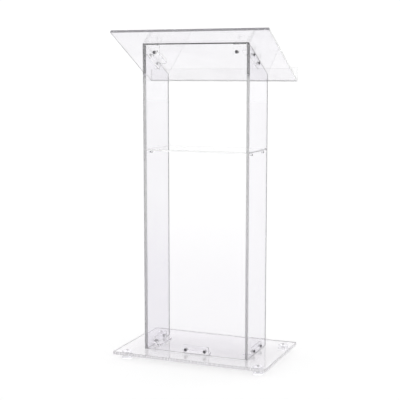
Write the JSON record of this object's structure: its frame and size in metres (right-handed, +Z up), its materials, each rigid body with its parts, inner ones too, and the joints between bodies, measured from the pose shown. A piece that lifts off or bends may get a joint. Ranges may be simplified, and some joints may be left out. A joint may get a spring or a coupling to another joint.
{
  "type": "presentation lectern",
  "caption": "Free-standing clear acrylic lectern: sloped reading desk with a paper lip on an open-backed pedestal with a shelf, on a base plate with screw-in levelling feet.",
  "frame": {"origin": "on the floor, at the middle of the base plate in width and depth", "axes": "+Z up, +X to the right as the audience sees it, +Y from the audience towards the speaker; the front panel faces -Y"},
  "size_m": [0.6, 0.38, 1.2177],
  "materials": {
    "clear_sheet": "clear polished acrylic sheet",
    "clear_bracket": "clear bent acrylic angle",
    "clear_foot": "clear turned acrylic",
    "clear_rod": "clear acrylic rod",
    "clear_nylon": "translucent nylon",
    "bolt_steel": "dark stainless steel",
    "nut_steel": "polished stainless steel"
  },
  "bodies": {
    "lectern": {"base_bracket_front": "clear_bracket", "base_bracket_left": "clear_bracket", "base_bracket_right": "clear_bracket", "base_front_bolts": "bolt_steel", "base_front_nuts": "nut_steel", "base_front_washers": "clear_nylon", "base_plate": "clear_sheet", "base_side_bolts": "bolt_steel", "base_side_nuts": "nut_steel", "base_side_washers": "clear_nylon", "corner_bolts": "bolt_steel", "corner_bracket_left": "clear_bracket", "corner_bracket_right": "clear_bracket", "corner_nuts": "nut_steel", "corner_washers": "clear_nylon", "desk_bolts": "bolt_steel", "desk_bracket_left": "clear_bracket", "desk_bracket_right": "clear_bracket", "desk_nuts": "nut_steel", "desk_washers": "clear_nylon", "front_panel": "clear_sheet", "paper_lip": "clear_sheet", "reading_desk": "clear_sheet", "shelf": "clear_sheet", "shelf_pegs": "clear_rod", "side_panel_left": "clear_sheet", "side_panel_right": "clear_sheet"},
    "stud_front_left": {"foot_stud_front_left": "clear_rod"},
    "foot_front_left": {"foot_front_left": "clear_foot"},
    "stud_front_right": {"foot_stud_front_right": "clear_rod"},
    "foot_front_right": {"foot_front_right": "clear_foot"},
    "stud_rear_left": {"foot_stud_rear_left": "clear_rod"},
    "foot_rear_left": {"foot_rear_left": "clear_foot"},
    "stud_rear_right": {"foot_stud_rear_right": "clear_rod"},
    "foot_rear_right": {"foot_rear_right": "clear_foot"}
  },
  "joints": [
    {"name": "foot_travel_front_left", "type": "slide", "parent": "lectern", "child": "stud_front_left", "axis": [0, 0, -1], "range_m": [0, 0.00502]},
    {"name": "foot_turn_front_left", "type": "hinge", "parent": "stud_front_left", "child": "foot_front_left", "pos_m": [-0.26, -0.15, 0], "axis": [0, 0, -1], "range_deg": [0, 1440]},
    {"name": "foot_travel_front_right", "type": "slide", "parent": "lectern", "child": "stud_front_right", "axis": [0, 0, -1], "range_m": [0, 0.00502]},
    {"name": "foot_turn_front_right", "type": "hinge", "parent": "stud_front_right", "child": "foot_front_right", "pos_m": [0.26, -0.15, 0], "axis": [0, 0, -1], "range_deg": [0, 1440]},
    {"name": "foot_travel_rear_left", "type": "slide", "parent": "lectern", "child": "stud_rear_left", "axis": [0, 0, -1], "range_m": [0, 0.00502]},
    {"name": "foot_turn_rear_left", "type": "hinge", "parent": "stud_rear_left", "child": "foot_rear_left", "pos_m": [-0.26, 0.15, 0], "axis": [0, 0, -1], "range_deg": [0, 1440]},
    {"name": "foot_travel_rear_right", "type": "slide", "parent": "lectern", "child": "stud_rear_right", "axis": [0, 0, -1], "range_m": [0, 0.00502]},
    {"name": "foot_turn_rear_right", "type": "hinge", "parent": "stud_rear_right", "child": "foot_rear_right", "pos_m": [0.26, 0.15, 0], "axis": [0, 0, -1], "range_deg": [0, 1440]}
  ],
  "couplings": [
    {"joint": "foot_travel_front_left", "follows": "foot_turn_front_left", "m_per_rad": 0.00019894},
    {"joint": "foot_travel_front_right", "follows": "foot_turn_front_right", "m_per_rad": 0.00019894},
    {"joint": "foot_travel_rear_left", "follows": "foot_turn_rear_left", "m_per_rad": 0.00019894},
    {"joint": "foot_travel_rear_right", "follows": "foot_turn_rear_right", "m_per_rad": 0.00019894}
  ]
}
